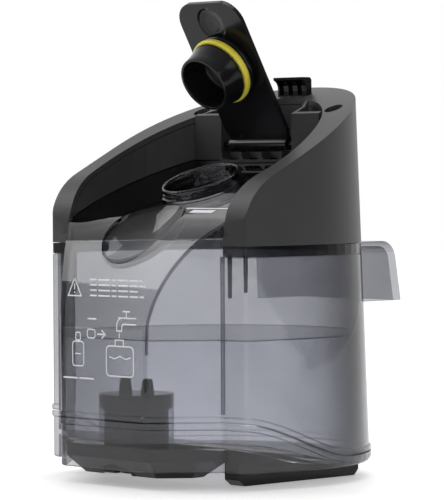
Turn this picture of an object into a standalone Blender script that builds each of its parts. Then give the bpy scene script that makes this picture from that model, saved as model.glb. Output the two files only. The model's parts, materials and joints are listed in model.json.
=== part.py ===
"""Removable clean-water tank of an upright carpet washer.

A smoke-clear tank with a sloping top and a filler neck, a black collar that sweeps up to the
rear, a hinged fill flap with a hollow plug and seal ring, a sprung release latch, a rear grip
pocket and a sprung outlet valve in the base.  Lengths below are in millimetres, x to the
right, y from the front face to the rear, z up from the surface that the tank stands on.
"""
import math

import bmesh
import bpy
from mathutils import Vector

MM = 0.001
GAP = 0.3            # clearance between pieces that touch
OVER = 5.0           # how far a cutter runs past what it cuts

# Plan of the tank, right half, at the height of the collar seam
FACE_HALF = 31.0     # flat front face
CHAMFER_X = 54.7     # where the chamfer beside the front face ends
STEP_Y = 28.0        # front ends of the collar arms
CHAMFER_END_Y = 27.0 # rear end of the chamfer
ARM_X = 70.5         # outer corner of a collar arm
MAX_X = 74.5         # widest half width
CREASE_Y = 74.0      # where the side turns into the rear ellipse
REAR_DEPTH = 76.5    # depth of the rear ellipse
SIDE_START = 8.0     # from the step to where the side's curve takes over from the arm's corner
DRAFT = 0.036        # outward lean of the rear wall, per mm of height
WALL = 2.4           # clear plastic

# Heights
SEAM_Z = 117.0       # collar above, clear tank below
SKIRT_Z = 8.0        # lower edge of the bottom pan
GASKET_LOW_Z = 111.5 # lower edge of the dark lip under the collar
GASKET_DEPTH = 0.9
BAND_FRONT_Z = 35.0  # top of the weld band at the front
BAND_REAR_Z = 16.0   # top of the weld band at the rear
BAND_HEIGHT = 6.0
BAND_PROUD = 0.9
BAND_FALL_START = 26.0
BAND_FALL_END = 96.0

# Sloping top, hinge and flap
TOP_SLOPE = math.radians(21.0)
HINGE_Y = 109.6
HINGE_Z = 166.6
NECK_REACH = 46.0    # hinge axis to the middle of the neck, along the slope
NECK_HEIGHT = 6.2    # neck rim above the sloping top
NECK_R = 20.6
NECK_BORE_R = 18.5
FACE_TOP_Z = 72.0    # where the front face starts to curve back
CURVE_END_Y = 34.0   # where the curved front meets the sloping plane
FLAP_LEAN = math.radians(30.2)   # open flap, forward of upright
FLAP_LENGTH = 82.0
FLAP_HALF = 21.9
FLAP_THICK = 2.2
BARREL_HALF = 20.4
BARREL_R = 3.2
PIN_R = 1.5

# Collar
COLLAR_SKIN = 2.8
LINER_WALL = 2.2
RIM_SLOPE = math.radians(25.2)
RIM_REAR_Z = 197.3
RIM_START_Z = 122.0  # where the front edge of an arm leaves the vertical
RIM_BEND_Y = 48.0    # where the rim's curve meets its slope
RIM_BEND_Z = 152.3
RECESS_FRONT_X = 56.0
RECESS_MAX_X = 62.5
RECESS_MID_Y = 61.0
RECESS_REAR = 68.0
BRACKET_FRONT_Y = 106.0
BRACKET_INNER_X = 25.4
BRACKET_RISE = 1.0   # how far the brackets stand above the rim
SCREW_X = 47.4
SCREW_Y = 113.8
SCREW_HOLE_R = 4.6
SCREW_DEPTH = 5.6    # from the rim down to the post that the screw is driven into

# Release latch
LATCH_HALF = 10.3
LATCH_LIP_Y = 129.2  # front edge of the overhanging lip
LATCH_STEM_Y = 132.6
LATCH_REAR_Y = 136.2
LATCH_SPRING_Y = 135.2
LATCH_TOP_Z = 201.0
LATCH_FOOT_Z = 184.0
SEAT_TOP_Z = 175.5
SEAT_WELL = 1.2      # depth of the well that the latch spring stands in

# Rear grip
GRIP_HALF = 36.0
GRIP_REAR_Y = 175.2
GRIP_LOW_Z = 86.0
GRIP_WALL = 2.6

# Outlet valve, on the centre line near the front
VALVE_Y = 22.5
HOUSING_R = 16.0
HOUSING_RIM_R = 18.2
HOUSING_TOP_Z = 44.0
HOUSING_WALL = 2.0
FLOOR_FRONT_Z = 22.0
FLOOR_REAR_Z = 10.5
SPIGOT_R = 8.0
STEM_R = 3.0
EAR_TOP_Z = 51.5

# Base
RAIL_OUTER_X = 52.0
RAIL_INNER_X = 42.0
RAIL_FRONT_Y = 42.0
RAIL_REAR_Y = 126.0
TRAY_HALF = 46.0

# The frame's origin is under the middle of the whole, so everything moves forward by this
FRONT_Y = -BAND_PROUD
MIDDLE_Y = (GRIP_REAR_Y + FRONT_Y) / 2


def clear_scene():
    for old in list(bpy.data.objects):
        bpy.data.objects.remove(old)


# ---------------------------------------------------------------- materials

def make_material(name, colour, roughness, metallic=0.0, alpha=1.0):
    material = bpy.data.materials.new(name)
    material.use_nodes = True
    shader = material.node_tree.nodes["Principled BSDF"]
    shader.inputs["Base Color"].default_value = (*colour, 1.0)
    shader.inputs["Roughness"].default_value = roughness
    shader.inputs["Metallic"].default_value = metallic
    shader.inputs["Alpha"].default_value = alpha
    return material


def smoke_clear():
    return make_material("smoke_clear", (0.32, 0.33, 0.36), 0.08, alpha=0.4)


def satin_black():
    return make_material("satin_black", (0.035, 0.036, 0.037), 0.45)


def gloss_black():
    return make_material("gloss_black", (0.01, 0.01, 0.012), 0.15)


def smoke_dark():
    return make_material("smoke_dark", (0.06, 0.062, 0.066), 0.3, alpha=0.85)


def yellow_silicone():
    return make_material("yellow_silicone", (0.80, 0.68, 0.06), 0.4)


def grey_rubber():
    return make_material("grey_rubber", (0.03, 0.03, 0.032), 0.7)


def spring_steel():
    return make_material("spring_steel", (0.6, 0.6, 0.6), 0.25, metallic=1.0)


def dark_steel():
    return make_material("dark_steel", (0.05, 0.05, 0.052), 0.35, metallic=1.0)


# ---------------------------------------------------------------- mesh helpers

def add_object(name, verts, faces, material=None, parent=None):
    """Make an object from millimetre points, facing out."""
    mesh = bpy.data.meshes.new(name)
    mesh.from_pydata([Vector(v) * MM for v in verts], [], faces)
    work = bmesh.new()
    work.from_mesh(mesh)
    bmesh.ops.recalc_face_normals(work, faces=work.faces)
    work.to_mesh(mesh)
    work.free()
    mesh.shade_smooth()
    mesh.set_sharp_from_angle(angle=math.radians(35))
    obj = bpy.data.objects.new(name, mesh)
    bpy.context.collection.objects.link(obj)
    if material:
        mesh.materials.append(material)
    obj.parent = parent
    return obj


def as_cutter(obj):
    obj.hide_render = True
    obj.display_type = 'WIRE'
    return obj


def boolean(obj, other, operation):
    modifier = obj.modifiers.new(operation.lower(), 'BOOLEAN')
    modifier.object = as_cutter(other)
    modifier.operation = operation
    modifier.solver = 'EXACT'


def cut(obj, *cutters):
    for cutter in cutters:
        boolean(obj, cutter, 'DIFFERENCE')
    return obj


def join(obj, *others):
    for other in others:
        boolean(obj, other, 'UNION')
    return obj


def loft(name, rings, material=None, parent=None):
    """Skin rings that mirror across x = 0; the ends are capped by strips from side to side."""
    count = len(rings[0])
    verts = [point for ring in rings for point in ring]
    faces = []
    for level in range(len(rings) - 1):
        low = level * count
        for i in range(count):
            j = (i + 1) % count
            faces.append((low + i, low + j, low + count + j, low + count + i))
    for base in (0, (len(rings) - 1) * count):
        for i in range(count // 2 - 1):
            faces.append((base + i, base + i + 1, base + count - 2 - i, base + count - 1 - i))
    return add_object(name, verts, faces, material, parent)


def prism_z(name, outline, low, high, material=None, parent=None):
    """Extrude an (x, y) outline from one height to another."""
    count = len(outline)
    verts = [(x, y, z) for z in (low, high) for x, y in outline]
    faces = [tuple(range(count)), tuple(range(count, 2 * count))]
    for i in range(count):
        j = (i + 1) % count
        faces.append((i, j, count + j, count + i))
    return add_object(name, verts, faces, material, parent)


def prism_x(name, outline, half_width, material=None, parent=None, middle=0.0):
    """Extrude a (y, z) outline sideways, the same distance each way from middle."""
    count = len(outline)
    verts = [(middle + x, y, z) for x in (-half_width, half_width) for y, z in outline]
    faces = [tuple(range(count)), tuple(range(count, 2 * count))]
    for i in range(count):
        j = (i + 1) % count
        faces.append((i, j, count + j, count + i))
    return add_object(name, verts, faces, material, parent)


def turned(name, profile, segments, material=None, parent=None, spot=(0, 0, 0)):
    """Turn an (r, z) profile about z.  A profile that starts and ends on the axis is a solid;
    any other is closed on itself, as a ring is."""
    solid = profile[0][0] == 0 and profile[-1][0] == 0
    verts = []
    rows = []
    for r, z in profile:
        if r == 0:
            rows.append([len(verts)] * segments)
            verts.append((spot[0], spot[1], spot[2] + z))
            continue
        rows.append([len(verts) + i for i in range(segments)])
        for i in range(segments):
            turn = 2 * math.pi * i / segments
            verts.append((spot[0] + r * math.cos(turn), spot[1] + r * math.sin(turn), spot[2] + z))
    pairs = list(zip(rows, rows[1:]))
    if not solid:
        pairs.append((rows[-1], rows[0]))
    faces = []
    for lower, upper in pairs:
        for i in range(segments):
            j = (i + 1) % segments
            corners = (lower[i], lower[j], upper[j], upper[i])
            faces.append(tuple(dict.fromkeys(corners)))
    return add_object(name, verts, faces, material, parent)


def rod_x(name, radius, half_length, y, z, segments=20, material=None, parent=None):
    """A round bar along x."""
    outline = [(y + radius * math.cos(2 * math.pi * i / segments),
                z + radius * math.sin(2 * math.pi * i / segments)) for i in range(segments)]
    return prism_x(name, outline, half_length, material, parent)


def frame_empty(name, y, z, tilt=0.0, parent=None):
    empty = bpy.data.objects.new(name, None)
    bpy.context.collection.objects.link(empty)
    empty.location = (0, y * MM, z * MM)
    empty.rotation_euler = (tilt, 0, 0)
    empty.parent = parent
    return empty


# ---------------------------------------------------------------- curves and outlines

def smoothstep(value):
    value = min(max(value, 0.0), 1.0)
    return value * value * (3 - 2 * value)


def bezier(start, start_pull, end_pull, end, steps):
    points = []
    for i in range(steps + 1):
        t = i / steps
        weights = ((1 - t) ** 3, 3 * t * (1 - t) ** 2, 3 * t * t * (1 - t), t ** 3)
        corners = (start, start_pull, end_pull, end)
        points.append(tuple(sum(w * c[k] for w, c in zip(weights, corners)) for k in (0, 1)))
    return points


def rounded(before, corner, after, radius, steps):
    """Points of an arc of the given radius that rounds off a corner."""
    before, corner, after = Vector(before), Vector(corner), Vector(after)
    into = (corner - before).normalized()
    out = (after - corner).normalized()
    turn = into.angle(out)
    tangent = radius * math.tan(turn / 2)
    start = corner - into * tangent
    side = Vector((-into.y, into.x))
    if side.dot(out) < 0:
        side.negate()
    centre = start + side * radius
    points = []
    for i in range(steps + 1):
        angle = turn * i / steps
        points.append(tuple(centre - side * radius * math.cos(angle) + into * radius * math.sin(angle)))
    return points


def offset_line(points, distance, closed=True):
    """Move a line to its right-hand side by a distance, or by one distance per point."""
    count = len(points)
    shifts = distance if isinstance(distance, list) else [distance] * count
    moved = []
    for i, point in enumerate(points):
        before = points[i - 1] if closed or i > 0 else None
        after = points[(i + 1) % count] if closed or i < count - 1 else None
        normals = []
        for start, end in ((before, point), (point, after)):
            if start is None or end is None:
                continue
            step = Vector(end) - Vector(start)
            normals.append(Vector((step.y, -step.x)).normalized())
        if len(normals) == 1:
            normals.append(normals[0])
        total = normals[0] + normals[1]
        mitre = total / (1 + normals[0].dot(normals[1]))
        moved.append(tuple(Vector(point) + mitre * shifts[i]))
    return moved


def mirror_ring(right):
    """Close a right half, listed from front to rear, into a whole ring."""
    return right + [(-x, y) for x, y in reversed(right)]


def side_and_rear():
    """The tank's outline from behind an arm's corner, along the side, round the rear."""
    points = []
    side_steps = 5
    for i in range(side_steps):
        y = STEP_Y + SIDE_START + (CREASE_Y - STEP_Y - SIDE_START) * i / side_steps
        bulge = math.sin(math.pi / 2 * (y - STEP_Y) / (CREASE_Y - STEP_Y))
        points.append((ARM_X + (MAX_X - ARM_X) * bulge, y))
    rear_steps = 16
    for i in range(rear_steps):
        turn = math.pi / 2 * i / (rear_steps - 0.5)
        points.append((MAX_X * math.cos(turn), CREASE_Y + REAR_DEPTH * math.sin(turn)))
    return points


def plan_ring(outset, height, tuck=0.0):
    """The tank's outline moved out by outset, at a height that may depend on y: flat face,
    chamfers, arms, sides and rear.  The rear leans out going down.  Behind the chamfers the
    outline stands in by tuck as well."""
    inner = outset - tuck
    side = side_and_rear()
    front = offset_line([(0, 0), (FACE_HALF, 0), (CHAMFER_X, CHAMFER_END_Y)], outset, closed=False)
    right = rounded(*front, max(5.0 + outset, 0.4), 3)
    arm = [(CHAMFER_X, CHAMFER_END_Y), (ARM_X, STEP_Y + 1), side[0]]
    if tuck:
        elbow = (front[2][0] + 0.4, STEP_Y - inner)
        right += [front[2], (elbow[0], front[2][1] + 0.8), (elbow[0], elbow[1] - 0.4),
                  (elbow[0] + 0.8, elbow[1])]
    else:
        corner = offset_line([(FACE_HALF, 0)] + arm[:2], outset, closed=False)
        right += rounded(*corner, max(2.0 - outset, 0.4), 3)
    right += rounded(*offset_line(arm, inner, closed=False), max(2.5 + inner, 0.4), 3)
    shifts = []
    for x, y in side:
        z = height(y) if callable(height) else height
        lean = DRAFT * (SEAM_Z - z)
        shifts.append(inner + lean * smoothstep((y - STEP_Y) / (CREASE_Y - STEP_Y)))
    right += offset_line(side, shifts, closed=False)
    return [(x, y, height(y) if callable(height) else height) for x, y in mirror_ring(right)]


def band_fall(y):
    return smoothstep((y - BAND_FALL_START) / (BAND_FALL_END - BAND_FALL_START))


def band_top(y):
    return BAND_FRONT_Z + (BAND_REAR_Z - BAND_FRONT_Z) * band_fall(y)


def floor_top(y):
    return FLOOR_FRONT_Z + (FLOOR_REAR_Z - FLOOR_FRONT_Z) * band_fall(y)


def top_height(y):
    """Height of the sloping top at y, behind its curved front."""
    return HINGE_Z - NECK_HEIGHT / math.cos(TOP_SLOPE) - (HINGE_Y - y) * math.tan(TOP_SLOPE)


def top_line():
    """Side view of the tank's top, from below its curved front to behind the rear wall."""
    end = (CURVE_END_Y, top_height(CURVE_END_Y))
    pull = 17.0
    end_pull = (end[0] - pull * math.cos(TOP_SLOPE), end[1] - pull * math.sin(TOP_SLOPE))
    start = (-0.6, FACE_TOP_Z - 4)
    points = bezier(start, (-0.2, FACE_TOP_Z + 28), end_pull, end, 10)
    rear_y = CREASE_Y + REAR_DEPTH + 20
    return points + [(rear_y, top_height(rear_y))]


def above_top(name, raised):
    """A cutter for everything above the tank's top, raised by a distance along its normal."""
    line = offset_line(top_line(), -raised, closed=False)
    ceiling = 260.0
    outline = [(-20, line[0][1])] + line + [(line[-1][0], ceiling), (-20, ceiling)]
    return prism_x(name, outline, MAX_X + 20)


def below_top(name, raised):
    """A cutter for everything below the tank's top, raised by a distance along its normal."""
    line = offset_line(top_line(), -raised, closed=False)
    outline = [(-20, line[0][1])] + line + [(line[-1][0], -20), (-20, -20)]
    return prism_x(name, outline, MAX_X + 20)


def rim_line():
    """Side view of the collar's rim: up the front end of an arm, back along a slope, and
    flattening towards the rear."""
    front_pull = 14.0
    bend = (RIM_BEND_Y, RIM_BEND_Z)
    slope = Vector((1, math.tan(RIM_SLOPE))).normalized()
    rear = (CREASE_Y + REAR_DEPTH + 2, RIM_REAR_Z)
    rear_slope = 0.237
    front = bezier((STEP_Y, RIM_START_Z), (STEP_Y, RIM_START_Z + front_pull),
                   (bend[0] - front_pull * slope.x, bend[1] - front_pull * slope.y), bend, 9)
    back = bezier(bend, (bend[0] + 39 * slope.x, bend[1] + 39 * slope.y),
                  (rear[0] - 38, rear[1] - 38 * rear_slope), rear, 8)
    beyond = 18.0
    return front + back[1:] + [(rear[0] + beyond, rear[1] + beyond * rear_slope)]


def rim_height(y):
    """Height of the rim at y, behind the arms' front ends."""
    line = rim_line()
    for (y0, z0), (y1, z1) in zip(line, line[1:]):
        if y0 <= y <= y1:
            return z0 + (z1 - z0) * (y - y0) / (y1 - y0)
    return line[-1][1]


def above_rim(name, raised, half_width=MAX_X + 20, middle=0.0):
    """A cutter for everything above the collar's rim, raised by a distance."""
    line = offset_line(rim_line(), -raised, closed=False)
    ceiling = 260.0
    outline = [(-20, line[0][1])] + line + [(line[-1][0], ceiling), (-20, ceiling)]
    return prism_x(name, outline, half_width, middle=middle)


def recess_plan(outset, front_y):
    """The open recess inside the collar, from front_y back to its round rear end."""
    right = []
    arm_steps = 6
    for i in range(arm_steps + 1):
        y = STEP_Y + (RECESS_MID_Y - STEP_Y) * i / arm_steps
        swell = math.sin(math.pi / 2 * i / arm_steps)
        right.append((RECESS_FRONT_X + (RECESS_MAX_X - RECESS_FRONT_X) * swell, y))
    rear_steps = 14
    for i in range(1, rear_steps):
        turn = math.pi / 2 * i / (rear_steps - 0.5)
        right.append((RECESS_MAX_X * math.cos(turn), RECESS_MID_Y + RECESS_REAR * math.sin(turn)))
    ring = offset_line(mirror_ring(right), outset)
    half = ring[:len(ring) // 2]
    half = [(half[0][0], front_y)] + half[1:]
    return mirror_ring(half)


# ---------------------------------------------------------------- clear tank

def scoop(name, growth):
    """The finger recess in the curved front: an egg-shaped hollow under the flap's tip."""
    middle = (0, 28.0, 127.0)
    reach = (22.0 + growth, 27.0 + growth, 9.5 + growth)
    tilt = math.radians(41)
    rows, columns = 10, 22
    verts = []
    for i in range(rows + 1):
        lat = math.pi * i / rows
        for j in range(columns if 0 < i < rows else 1):
            lon = 2 * math.pi * j / columns
            x = reach[0] * math.sin(lat) * math.cos(lon)
            along = reach[1] * math.sin(lat) * math.sin(lon)
            depth = reach[2] * math.cos(lat)
            verts.append((middle[0] + x,
                          middle[1] + along * math.cos(tilt) - depth * math.sin(tilt),
                          middle[2] + along * math.sin(tilt) + depth * math.cos(tilt)))
    faces = []
    last = len(verts) - 1
    for j in range(columns):
        k = (j + 1) % columns
        faces.append((0, 1 + j, 1 + k))
        for i in range(rows - 2):
            low = 1 + i * columns
            faces.append((low + j, low + columns + j, low + columns + k, low + k))
        base = 1 + (rows - 2) * columns
        faces.append((base + j, last, base + k))
    return add_object(name, verts, faces)


def tank_shell(frame, clear):
    tuck = COLLAR_SKIN + GAP + 0.1
    step = 0.1           # a ledge drops this much as it goes out, so that no face is folded flat
    rings = [plan_ring(BAND_PROUD, lambda y: band_top(y) - BAND_HEIGHT / 2 + GAP / 2),
             plan_ring(BAND_PROUD, band_top), plan_ring(0, lambda y: band_top(y) + 0.4),
             plan_ring(0, GASKET_LOW_Z - step), plan_ring(0, GASKET_LOW_Z, GASKET_DEPTH),
             plan_ring(0, SEAM_Z - step, GASKET_DEPTH), plan_ring(0, SEAM_Z, tuck),
             plan_ring(0, 215, tuck)]
    shell = loft("tank_shell", rings, clear, frame)
    cavity_rings = [plan_ring(-WALL, lambda y: band_top(y) - BAND_HEIGHT),
                    plan_ring(-WALL, SEAM_Z - WALL - step), plan_ring(-WALL, SEAM_Z - WALL, tuck),
                    plan_ring(-WALL, 215, tuck)]
    cavity = loft("cut_tank_cavity", cavity_rings, parent=frame)
    cut(cavity, parented(above_top("cut_cavity_top", -WALL), frame),
        parented(scoop("cut_scoop_back", WALL), frame))
    neck_hole = turned("cut_neck_hole", [(0, -30), (NECK_BORE_R, -30), (NECK_BORE_R, 20), (0, 20)], 36,
                       parent=neck_frame(frame))
    reach = 10.0
    arms = [parented(above_rim("cut_shell_arm_%+d" % side, -COLLAR_SKIN - GAP - 0.2, reach,
                               side * (RECESS_FRONT_X + reach)), frame) for side in (-1, 1)]
    return cut(shell, parented(above_top("cut_tank_top", 0), frame), cavity,
               parented(scoop("cut_scoop", 0), frame), neck_hole, *arms)


def parented(obj, parent):
    obj.parent = parent
    return obj


def neck_frame(frame):
    """The middle of the neck's rim, with z along the neck."""
    name = "neck_axis"
    if name in bpy.data.objects:
        return bpy.data.objects[name]
    return frame_empty(name, HINGE_Y - NECK_REACH * math.cos(TOP_SLOPE),
                       HINGE_Z - NECK_REACH * math.sin(TOP_SLOPE), TOP_SLOPE, frame)


def filler_neck(frame, clear):
    low = GAP - NECK_HEIGHT
    step = 0.7
    profile = [(NECK_BORE_R, low), (NECK_R + 1.0, low), (NECK_R + 1.0, low + 1.2), (NECK_R, low + 1.6),
               (NECK_R, low + 2.8), (NECK_R - step, low + 3.1), (NECK_R - step, low + 3.7),
               (NECK_R, low + 4.0), (NECK_R, -0.6), (NECK_R - 0.6, 0), (NECK_BORE_R + 0.5, 0),
               (NECK_BORE_R, -0.5)]
    return turned("filler_neck", profile, 36, clear, neck_frame(frame))


def bottom_pan(frame, clear):
    """Floor, skirt and lower half of the weld band."""
    band_middle = BAND_HEIGHT / 2 + GAP / 2
    rings = [plan_ring(-0.8, SKIRT_Z), plan_ring(0, SKIRT_Z + 0.8),
             plan_ring(0, lambda y: max(band_top(y) - BAND_HEIGHT - 0.4, SKIRT_Z + 1.0)),
             plan_ring(BAND_PROUD, lambda y: max(band_top(y) - BAND_HEIGHT, SKIRT_Z + 1.4)),
             plan_ring(BAND_PROUD, lambda y: band_top(y) - band_middle)]
    pan = loft("bottom_pan", rings, clear, frame)
    upper = loft("cut_pan_upper", [plan_ring(-WALL, floor_top), plan_ring(-WALL, 60)], parent=frame)
    under = loft("cut_pan_under", [plan_ring(-WALL, -OVER),
                                   plan_ring(-WALL, lambda y: max(floor_top(y) - WALL, SKIRT_Z + 0.3))],
                 parent=frame)
    hole = turned("cut_pan_hole", [(0, -OVER), (HOUSING_R + GAP, -OVER), (HOUSING_R + GAP, 60), (0, 60)],
                  40, parent=frame, spot=(0, VALVE_Y, 0))
    return cut(pan, upper, under, hole)


def grip_line(inset):
    """Side view of the grip: out from the wall, round a corner, and down."""
    top = SEAM_Z - GAP
    corner = (GRIP_REAR_Y - 5.5, top)
    low = (GRIP_REAR_Y, GRIP_LOW_Z)
    start = (CREASE_Y + 40, top)
    line = [start] + rounded(start, corner, low, 10.0, 6) + [low]
    return offset_line(line, inset, closed=False)


def grip_pocket(frame, clear):
    """The rear hand grip: a hood welded to the wall, open below."""
    outer = grip_line(0)
    outline = outer + [(outer[0][0], GRIP_LOW_Z)]
    hood = prism_x("grip_pocket", outline, GRIP_HALF, clear, frame)
    inner = grip_line(GRIP_WALL)
    pocket = inner[:-1] + [(inner[-1][0] + 0.6, GRIP_LOW_Z - OVER), (inner[0][0] - OVER, GRIP_LOW_Z - OVER),
                           (inner[0][0] - OVER, inner[0][1])]
    void = prism_x("cut_grip_void", pocket, GRIP_HALF - GRIP_WALL, parent=frame)
    wall = loft("cut_grip_wall", [plan_ring(GAP, 60), plan_ring(GAP, 130)], parent=frame)
    return cut(hood, void, wall)


# ---------------------------------------------------------------- collar

def collar_housing(frame, black):
    """Outer skin and sloping rim band of the collar, open underneath."""
    low = SEAM_Z + GAP
    rings = [plan_ring(0, low), plan_ring(0, 216)]
    collar = loft("collar_housing", rings, black, frame)
    hollow = loft("cut_collar_hollow", [plan_ring(-COLLAR_SKIN, low - OVER), plan_ring(-COLLAR_SKIN, 216)],
                  parent=frame)
    cut(hollow, parented(above_rim("cut_hollow_top", -COLLAR_SKIN), frame))
    recess = prism_z("cut_recess", recess_plan(0, -30), low - OVER, 260, parent=frame)
    cut(collar, parented(above_rim("cut_collar_top", 0), frame), hollow, recess)
    for side in (-1, 1):
        cut(collar, screw_hole(frame, side))
    slot = prism_x("cut_latch_slot", box_outline(LATCH_STEM_Y - 0.4, LATCH_REAR_Y + 0.4, 160, 230),
                   LATCH_HALF + 0.4, parent=frame)
    return cut(collar, slot)


def box_outline(near, far, low, high):
    return [(near, low), (far, low), (far, high), (near, high)]


def screw_hole(frame, side):
    profile = [(0, -30), (SCREW_HOLE_R, -30), (SCREW_HOLE_R, 20), (0, 20)]
    return turned("cut_screw_hole_%+d" % side, profile, 20, parent=frame,
                  spot=(side * SCREW_X, SCREW_Y, rim_height(SCREW_Y)))


def collar_screw(frame, steel, side, name):
    """A pan-head screw at the bottom of its hole, driven into the post below."""
    seat = rim_height(SCREW_Y) - SCREW_DEPTH + GAP
    profile = [(0, seat - 9), (1.1, seat - 8), (1.5, seat - 7), (1.5, seat), (3.4, seat), (3.4, seat + 1.4),
               (2.6, seat + 2.1), (1.2, seat + 2.1), (0.9, seat + 1.0), (0, seat + 1.0)]
    return turned(name, profile, 12, steel, frame, spot=(side * SCREW_X, SCREW_Y, 0))


def collar_boss(frame, black, side, name):
    """The post on the tank's top that a collar screw bites into."""
    top = rim_height(SCREW_Y) - SCREW_DEPTH
    low = 150.0
    profile = [(1.8, low), (4.2, low), (4.2, top), (1.8, top)]
    boss = turned(name, profile, 12, black, frame, spot=(side * SCREW_X, SCREW_Y, 0))
    beside = prism_z("cut_%s_side" % name, recess_plan(LINER_WALL + GAP, STEP_Y), 140, 230, parent=frame)
    return cut(boss, parented(below_top("cut_%s_foot" % name, GAP), frame), beside)


def collar_liner(frame, black):
    """Inner wall of the collar, round the recess, from the tank's top up to the band."""
    front_y = STEP_Y + COLLAR_SKIN + GAP + 0.2
    outer = recess_plan(LINER_WALL, front_y)
    inner = recess_plan(0, front_y)
    half = len(outer) // 2
    wall = outer[:half] + outer[half:] + inner[half:][::-1] + inner[:half][::-1]
    liner = prism_z("collar_liner", wall, SEAM_Z, 210, black, frame)
    return cut(liner, parented(below_top("cut_liner_foot", GAP), frame),
               parented(above_rim("cut_liner_top", -COLLAR_SKIN - GAP), frame))


def hinge_bracket(frame, black, side, name):
    """An open-topped pocket beside the flap, whose inner wall holds one end of the pin."""
    wall = 2.0
    half_at = lambda y: RECESS_MAX_X * math.sqrt(1 - ((y - RECESS_MID_Y) / RECESS_REAR) ** 2) - 0.5
    near = BRACKET_FRONT_Y
    rear = RECESS_MID_Y + RECESS_REAR - 6.0
    inner_rear = BRACKET_INNER_X - 6.5
    outline = [(BRACKET_INNER_X, near), (half_at(near + wall), near), (half_at(near + wall), near + wall),
               (BRACKET_INNER_X + wall, near + wall), (BRACKET_INNER_X + wall, HINGE_Y + 4),
               (inner_rear + wall, rear), (inner_rear, rear), (BRACKET_INNER_X, HINGE_Y + 4)]
    outline = [(side * x, y) for x, y in outline]
    bracket = prism_z(name, outline, 140, 210, black, frame)
    bore = rod_x("cut_%s_bore" % name, PIN_R + 0.25, 60, HINGE_Y, HINGE_Z, parent=frame)
    top = parented(above_rim("cut_%s_top" % name, BRACKET_RISE), frame)
    return cut(bracket, top, parented(below_top("cut_%s_foot" % name, GAP), frame), bore)


def hinge_cradle(frame, black):
    """The ribbed apron under the hinge barrel, with three pockets open to the front."""
    near, back = HINGE_Y - 7.6, HINGE_Y - 2.0
    half = 22.4
    top = HINGE_Z - BARREL_R - 0.6
    outline = [(near, 140), (HINGE_Y + 8, 140), (HINGE_Y + 8, top), (near, top)]
    cradle = prism_x("hinge_cradle", outline, half, black, frame)
    cut(cradle, parented(below_top("cut_cradle_foot", GAP), frame))
    rib = 1.5
    width = (2 * half - 4 * rib) / 3
    floor_z = top_height(near) + 1.8
    radius = 2.4
    for i in range(3):
        middle = -half + rib + width / 2 + i * (width + rib)
        reach = width / 2
        corners = [(-reach, top + 2), (-reach, floor_z), (reach, floor_z), (reach, top + 2)]
        opening = [corners[0]] + rounded(*corners[0:3], radius, 4) + rounded(*corners[1:4], radius, 4)
        opening.append(corners[3])
        verts = [(middle + x, y, z) for y in (near - 2, back) for x, z in opening]
        count = len(opening)
        faces = [tuple(range(count)), tuple(range(count, 2 * count))]
        for k in range(count):
            j = (k + 1) % count
            faces.append((k, j, count + j, count + k))
        cut(cradle, add_object("cut_cradle_pocket_%d" % (i + 1), verts, faces, parent=frame))
    return cradle


def hinge_pin(frame, steel):
    return rod_x("hinge_pin", PIN_R, BRACKET_INNER_X + 1.6, HINGE_Y, HINGE_Z, 16, steel, frame)


def collar_gasket(frame, rubber):
    """The dark lip under the collar, from one arm's front end round the rear to the other's."""
    start = 7            # the first outline point behind the chamfer
    low, high = GASKET_LOW_Z + GAP, SEAM_Z
    verts = []
    for tuck, height in ((0.05, low), (GASKET_DEPTH - GAP, low), (GASKET_DEPTH - GAP, high), (0.05, high)):
        verts += plan_ring(0, height, tuck)[start:-start]
    count = len(verts) // 4
    corners = [count * k for k in range(4)]
    faces = [tuple(corners), tuple(corner + count - 1 for corner in corners)]
    for i in range(count - 1):
        for k in range(4):
            here, there = corners[k] + i, corners[(k + 1) % 4] + i
            faces.append((here, here + 1, there + 1, there))
    return add_object("collar_gasket", verts, faces, rubber, frame)


# ---------------------------------------------------------------- flap

def flap_outline():
    """Face view of the flap, (x, reach from the hinge): straight sides and a rounded end."""
    radius = 12.0
    crown = 2.2          # how far the end bows out
    right = [(BARREL_HALF, 0), (BARREL_HALF, 4.5), (FLAP_HALF, 7.0)]
    right += rounded((FLAP_HALF, 7.0), (FLAP_HALF, FLAP_LENGTH - crown), (0, FLAP_LENGTH + 1.0), radius, 8)
    return mirror_ring(right)


def lid_flap(lid, black):
    """The flap: a plate along its frame's y, barrel on the axis, plug side towards +z."""
    plate = prism_z("lid_flap", flap_outline(), -GAP - FLAP_THICK, -GAP, black, lid)
    barrel = rod_x("cut_lid_barrel", BARREL_R, BARREL_HALF, 0, 0, 24, parent=lid)
    bore = rod_x("cut_lid_bore", PIN_R + GAP, 60, 0, 0, 16, parent=lid)
    dish = turned("cut_lid_dish", [(0, -1.6), (5, -1.4), (8, -0.9), (10.5, 0.4), (10.5, 3), (0, 3)], 28,
                  parent=lid, spot=(0, FLAP_LENGTH - 12.5, 0))
    return cut(join(plate, barrel), bore, dish)


def lid_plug(lid, black):
    """Hollow plug that closes the neck: flange, ring groove, tapered nose, open mouth."""
    profile = [(0, 0), (17.6, 0), (17.6, 2.4), (16.6, 3.2), (15.4, 3.4), (15.4, 7.9), (16.8, 8.1),
               (16.8, 9.2), (15.6, 12), (14.9, 16), (14.7, 19.2), (14.2, 20), (13.4, 20), (12.9, 19.2),
               (12.7, 6), (11.5, 4), (2.6, 4), (2.6, 2), (0, 2)]
    return turned("lid_plug", profile, 32, black, lid, spot=(0, NECK_REACH, 0))


def seal_ring(lid, silicone):
    """The yellow ring in the plug's groove."""
    inner = 15.4 + GAP
    outer = 17.9
    profile = [(inner, 3.8), (outer - 0.9, 3.8), (outer - 0.25, 4.2), (outer, 5.0), (outer, 6.2),
               (outer - 0.25, 7.0), (outer - 0.9, 7.4), (inner, 7.4)]
    return turned("seal_ring", profile, 32, silicone, lid, spot=(0, NECK_REACH, 0))


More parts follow.
